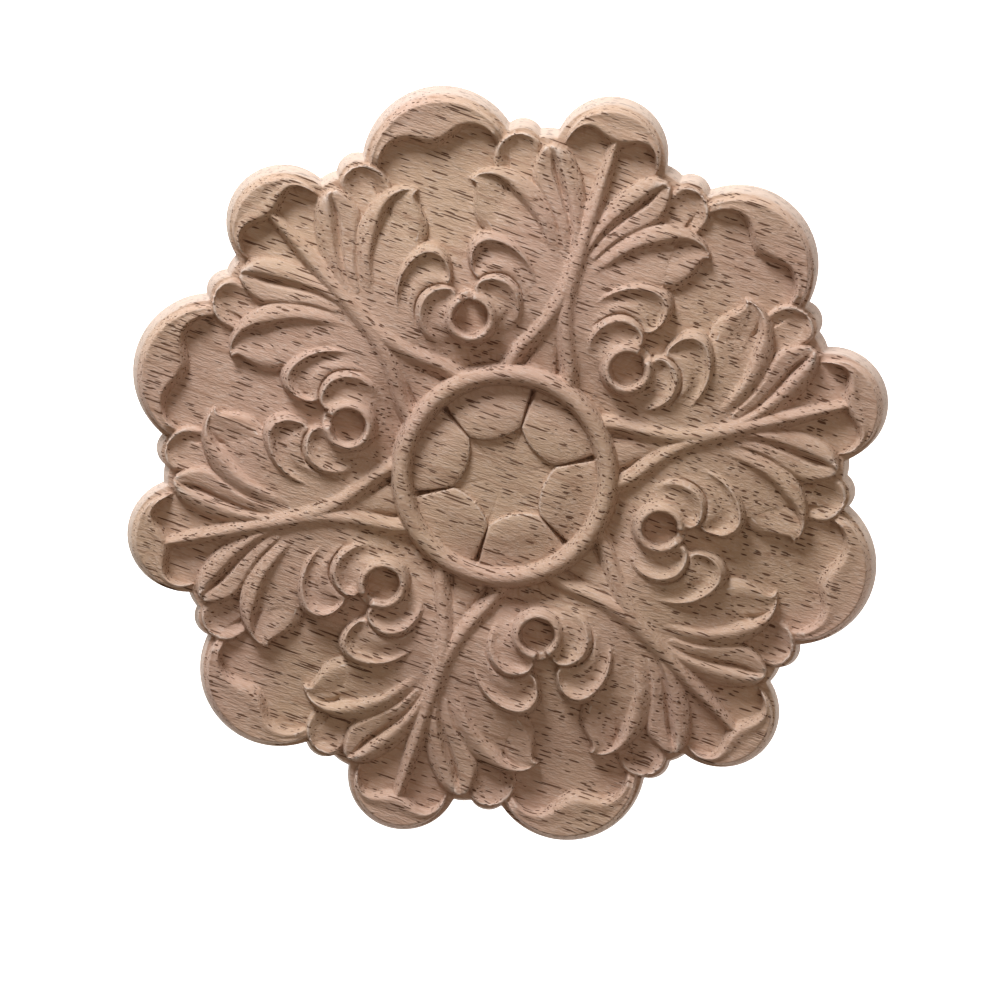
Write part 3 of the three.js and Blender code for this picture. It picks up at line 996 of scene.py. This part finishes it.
@dataclass(frozen=True)
class Rubberwood:
    """Raw carved rubberwood: a pinkish ground with brown pore streaks along the grain.

    Colours are linear, and sizes are in metres. A cell is a size along the grain and across it,
    and a ramp says how much of a tint shows.

    Attributes:
        grain_angle: Turn of the grain in the rosette's face.
        grain_dive: How steeply the grain runs into it.
        pink: The ground.
        yellow: The ground's other tint, in clouds.
        shade: Dark fibres, and the painted shade in the hollows.
        pore: The pores' inside.
        fuzz_and_painted_highlight: Cut fibres, and the painted highlights on edges and on the side
            wall.
        cloud_scale: Clouds of tint to a metre.
        fibre_cell: Size of the fibre lines.
        fuzz_cell: Size of the cut fibres.
        pore_length: A pore cell's length along the grain.
        pore_pitch: A pore cell's width across it.
        pore_layers: The pores' sizes, as shares of those two.
        clouds: Yellow, by the clouds' noise.
        fuzz: Pale cut fibres, by their noise.
        fibres: Dark fibres, by their noise.
        edges: Painted highlight on edges, by how far the carving bends out.
        painted_groove_shade: Painted shade in the hollows, by how far the carving bends in.
        painted_wall_highlight_depth: The painted highlight on the side wall, by the place from
            front to back.
        painted_wall_highlight_facing: The same, by how much a face looks to the front.
        pore_cover: How much of a pore's colour shows.
        fibre_relief: Share of the fibre lines in the relief.
        fuzz_relief: Share of the cut fibres.
        pore_relief: Share of the pores.
        sheen: Strength of the reflection.
        bump_depth: Depth of the relief.
    """

    grain_angle: float = math.radians(31)
    grain_dive: float = math.radians(3)
    pink: Colour = (0.55, 0.365, 0.28, 1)
    yellow: Colour = (0.55, 0.385, 0.27, 1)
    # Dark fibres, and the painted shade in the hollows.
    shade: Colour = (0.36, 0.205, 0.13, 1)
    pore: Colour = (0.13, 0.058, 0.03, 1)
    # Real cut-fibre fuzz, and the painted highlights on edges and side wall.
    fuzz_and_painted_highlight: Colour = (0.7, 0.6, 0.53, 1)
    cloud_scale: float = 45.0
    fibre_cell: Point = (0.012, 0.0007)
    fuzz_cell: Point = (0.0009, 0.0002)
    pore_length: float = 0.0062
    pore_pitch: float = 0.00042
    pore_layers: Sequence[PoreLayer] = (
        PoreLayer(1.3, 0.8, -0.15, 0.36),
        PoreLayer(0.6, 1.0, -0.14, 0.33),
        PoreLayer(0.35, 0.8, -0.3, 0.31),
    )
    clouds: Ramp = Ramp(0.35, 0.65)
    fuzz: Ramp = Ramp(0.45, 0.75, 0.0, 0.4)
    fibres: Ramp = Ramp(0.48, 0.7, 0.0, 0.6)
    # Painted highlight: convex edges are tinted paler, as if catching the light.
    edges: Ramp = Ramp(0.03, 0.28, 0.0, 0.6)
    # Painted shade: hollows are tinted darker, where shade falls.
    painted_groove_shade: Ramp = Ramp(-0.3, -0.04, 0.55, 0.0)
    # Painted highlight: the side wall below the lip is tinted paler, as if brightly lit.
    painted_wall_highlight_depth: Ramp = Ramp(-0.0046, -0.0034)
    painted_wall_highlight_facing: Ramp = Ramp(0.35, 0.75, 0.5, 0.0)
    pore_cover: float = 0.9
    fibre_relief: float = 0.8
    fuzz_relief: float = 1.3
    pore_relief: float = 1.5
    roughness: float = 0.75
    sheen: float = 0.3
    bump_strength: float = 0.9
    bump_depth: float = 0.00015

    def material(self) -> bpy.types.Material:
        """Makes the material.

        Returns:
            The wood.
        """
        material = bpy.data.materials.new("raw_rubberwood")
        material.use_nodes = True
        tree = material.node_tree
        shader = tree.nodes["Principled BSDF"]
        graph = Graph(tree)
        grain = self._grain(graph)
        pores = graph.add("Group", {"node_tree": self._pores()}, Grain=grain).outputs[0]
        fibre_cells = self._stretched(graph, grain, self.fibre_cell)
        fibres = graph.add("TexNoise", Vector=fibre_cells, Scale=1.0, Detail=4.0,
                           Roughness=0.65).outputs[0]
        fuzz_cells = self._stretched(graph, grain, self.fuzz_cell)
        fuzz = graph.add("TexNoise", Vector=fuzz_cells, Scale=1.0, Detail=3.0,
                         Roughness=0.6).outputs[0]
        lined = self._lined(graph, grain, fibres, fuzz)
        pored = graph.mix(graph.math("MULTIPLY", pores, self.pore_cover), lined, self.pore)
        # The painted highlight on the side wall goes on last.
        graph.tree.links.new(self._paint_wall_highlight(graph, pored), shader.inputs["Base Color"])
        height = graph.math("ADD", graph.math("MULTIPLY", fibres, self.fibre_relief),
                            graph.math("MULTIPLY", fuzz, self.fuzz_relief))
        height = graph.math("SUBTRACT", height, graph.math("MULTIPLY", pores, self.pore_relief))
        bump = graph.add("Bump", Strength=self.bump_strength, Distance=self.bump_depth,
                         Height=height)
        graph.tree.links.new(bump.outputs[0], shader.inputs["Normal"])
        shader.inputs["Roughness"].default_value = self.roughness
        shader.inputs["Specular IOR Level"].default_value = self.sheen
        return material

    def _grain(self, graph: Graph) -> Socket:
        """Object coordinates turned so that the first axis runs along the grain."""
        place = graph.add("TexCoord").outputs["Object"]
        turn = graph.add("VectorRotate", {"rotation_type": "EULER_XYZ"}, Vector=place,
                         Rotation=(0, -self.grain_angle, self.grain_dive))
        return turn.outputs[0]

    @staticmethod
    def _stretched(graph: Graph, grain: Socket, cell: Point) -> Socket:
        """Grain coordinates counted in cells.

        Args:
            graph: Where the nodes go.
            grain: The grain coordinates.
            cell: A cell's size along the grain and across it.

        Returns:
            The coordinates' socket.
        """
        scale = (1 / cell[0], 1 / cell[1], 1 / cell[1])
        node = graph.add("VectorMath", {"operation": "MULTIPLY"}, i0=grain, i1=scale)
        return node.outputs[0]

    def _pores(self) -> bpy.types.NodeTree:
        """The shared pore pattern: a mask of slim hollow vessels in grain coordinates."""
        group = bpy.data.node_groups.new("pore_streaks", "ShaderNodeTree")
        group.interface.new_socket("Grain", in_out="INPUT", socket_type="NodeSocketVector")
        group.interface.new_socket("Mask", in_out="OUTPUT", socket_type="NodeSocketFloat")
        start = group.nodes.new("NodeGroupInput")
        end = group.nodes.new("NodeGroupOutput")
        graph = Graph(group)
        masks = []
        for layer in self.pore_layers:
            size = (self.pore_length * layer.length, self.pore_pitch * layer.pitch)
            cells = self._stretched(graph, start.outputs[0], size)
            wander = graph.add("TexNoise", Vector=cells, Scale=0.7, Detail=1.0)
            bent = graph.add("VectorMath", {"operation": "MULTIPLY_ADD"},
                             i0=wander.outputs["Color"], i1=(0.5, 0.5, 0.5), i2=cells)
            cell = graph.add("TexVoronoi", Vector=bent.outputs[0], Scale=1.0)
            reach = graph.ramp(cell.outputs["Color"], Ramp(0.2, 0.9, layer.least, layer.most))
            inside = graph.math("SUBTRACT", reach, cell.outputs["Distance"])
            masks.append(graph.ramp(inside, Ramp(-0.01, 0.06)))
        both = graph.math("MAXIMUM", masks[0], masks[1])
        graph.tree.links.new(graph.math("MAXIMUM", both, masks[2]), end.inputs[0])
        return group

    def _lined(self, graph: Graph, grain: Socket, fibres: Socket, fuzz: Socket) -> Socket:
        """The wood's colour before its pores.

        Args:
            graph: Where the nodes go.
            grain: The grain coordinates.
            fibres: Noise of the fibre lines.
            fuzz: Noise of the cut fibres.

        Returns:
            The colour, with a painted highlight on edges and painted shade in the hollows.
        """
        clouds = graph.add("TexNoise", Vector=grain, Scale=self.cloud_scale, Detail=2.0).outputs[0]
        ground = graph.mix(graph.ramp(clouds, self.clouds), self.pink, self.yellow)
        ground = graph.mix(graph.ramp(fuzz, self.fuzz), ground, self.fuzz_and_painted_highlight)
        lined = graph.mix(graph.ramp(fibres, self.fibres), ground, self.shade)
        bend = graph.add("Attribute", {"attribute_name": "bend"}).outputs["Fac"]
        # Painted highlight: paler where the carving bends out over an edge.
        lined = graph.mix(graph.ramp(bend, self.edges), lined, self.fuzz_and_painted_highlight)
        # Painted shade: darker where the carving bends in.
        return graph.mix(graph.ramp(bend, self.painted_groove_shade), lined, self.shade)

    def _paint_wall_highlight(self, graph: Graph, colour: Socket) -> Socket:
        """The colour, paler on the smooth sawn side wall near the back: a painted highlight of the
        wall as it shows brightly lit.

        Args:
            graph: Where the nodes go.
            colour: The colour elsewhere.

        Returns:
            The tinted colour.
        """
        place = graph.add("SeparateXYZ", Vector=graph.add("TexCoord").outputs["Object"])
        low = graph.ramp(place.outputs["Y"], self.painted_wall_highlight_depth)
        normal = graph.add("SeparateXYZ", Vector=graph.add("NewGeometry").outputs["True Normal"])
        facing = graph.math("ABSOLUTE", normal.outputs["Y"], 0.0)
        side = graph.ramp(facing, self.painted_wall_highlight_facing)
        # Painted highlight: paler where the wall is near the back and faces sideways.
        return graph.mix(graph.math("MULTIPLY", low, side), colour, self.fuzz_and_painted_highlight)


@dataclass(frozen=True)
class Lamp:
    """A soft square light, placed in the picture's own upright frame."""

    name: str
    place: tuple[float, float, float]
    size: float
    power: float
    colour: tuple[float, float, float]


@dataclass
class Studio:
    """The white backdrop, the soft lights and the camera.

    Attributes:
        roll: Turn of the rosette in the picture.
        stand: Where the camera stands before that turn.
        lens: Its focal length in millimetres.
        shift: Its shift across and up.
        backdrop_size: Half the backdrop's width.
        backdrop_behind: How far behind the rosette it is.
        backdrop_glow: Strength of its own light.
        ambient: Strength of the light from all round.
        warm: Colour of that light.
    """

    roll: float = math.radians(11.7)
    stand: Vector = field(default_factory=lambda: Vector((0.0085, -0.3997, 0.0612)))
    lens: float = 112.6
    shift: Point = (-0.00575, -0.0315)
    backdrop_size: float = 3.0
    backdrop_behind: float = 0.6
    backdrop_grey: Colour = (0.8, 0.8, 0.8, 1)
    backdrop_glow: float = 1.5
    ambient: float = 0.185
    warm: Colour = (1, 0.8, 0.62, 1)
    lamps: Sequence[Lamp] = (
        Lamp("key", (-0.17, -0.22, 0.49), 0.18, 3.75, (0.98, 1, 1.03)),
        Lamp("fill", (0.3, -0.7, 0.1), 0.6, 0.9, (1, 0.87, 0.75)),
    )

    def build(self) -> None:
        """Builds the camera, the lamps, the ambient light and the backdrop."""
        turn = Matrix.Rotation(self.roll, 4, "Y")
        self._camera(turn)
        for lamp in self.lamps:
            self._lamp(lamp, turn)
        world = bpy.data.worlds.new("studio")
        world.use_nodes = True
        background = world.node_tree.nodes["Background"]
        background.inputs["Strength"].default_value = self.ambient
        background.inputs["Color"].default_value = self.warm
        bpy.context.scene.world = world
        bpy.context.scene.view_settings.view_transform = "Standard"
        self._backdrop()

    @staticmethod
    def _towards_middle(place: Vector) -> Matrix:
        """A placement at a point, facing the middle of the rosette."""
        return Matrix.Translation(place) @ (-place).to_track_quat("-Z", "Y").to_matrix().to_4x4()

    def _camera(self, turn: Matrix) -> None:
        """Makes the camera, rolled as the rosette lies in the picture."""
        camera = added("camera", bpy.data.cameras.new("camera"))
        camera.data.lens = self.lens
        camera.data.shift_x, camera.data.shift_y = self.shift
        camera.matrix_world = turn @ self._towards_middle(self.stand)
        bpy.context.scene.camera = camera

    def _lamp(self, lamp: Lamp, turn: Matrix) -> None:
        """Makes one soft light."""
        data = bpy.data.lights.new(lamp.name, "AREA")
        data.size = lamp.size
        data.energy = lamp.power
        data.color = lamp.colour
        added(lamp.name, data).matrix_world = self._towards_middle(turn @ Vector(lamp.place))

    def _backdrop(self) -> None:
        """Makes the plain white backdrop, lit evenly by itself."""
        bm = bmesh.new()
        bmesh.ops.create_grid(bm, x_segments=1, y_segments=1, size=self.backdrop_size)
        bmesh.ops.rotate(bm, verts=bm.verts[:], cent=(0, 0, 0),
                         matrix=Matrix.Rotation(math.radians(90), 3, "X"))
        bmesh.ops.translate(bm, verts=bm.verts[:], vec=(0, self.backdrop_behind, 0))
        mesh = bpy.data.meshes.new("backdrop")
        bm.to_mesh(mesh)
        bm.free()
        white = bpy.data.materials.new("backdrop_white")
        white.use_nodes = True
        shader = white.node_tree.nodes["Principled BSDF"]
        shader.inputs["Base Color"].default_value = self.backdrop_grey
        shader.inputs["Emission Color"].default_value = (1, 1, 1, 1)
        shader.inputs["Emission Strength"].default_value = self.backdrop_glow
        mesh.materials.append(white)
        added("backdrop", mesh)


def main() -> None:
    """Builds the rosette and the studio, and reports each piece."""
    logging.basicConfig(level=logging.INFO, format="%(name)s: %(message)s")
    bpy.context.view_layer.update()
    piece = Rosette(rim=Rim(*lobes())).build()
    piece.data.materials.append(Rubberwood().material())
    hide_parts("rosette")
    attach(piece, "root")
    log.info("%s has %d faces", piece.name, len(piece.data.polygons))
    Studio().build()


if __name__ == "__main__":
    main()
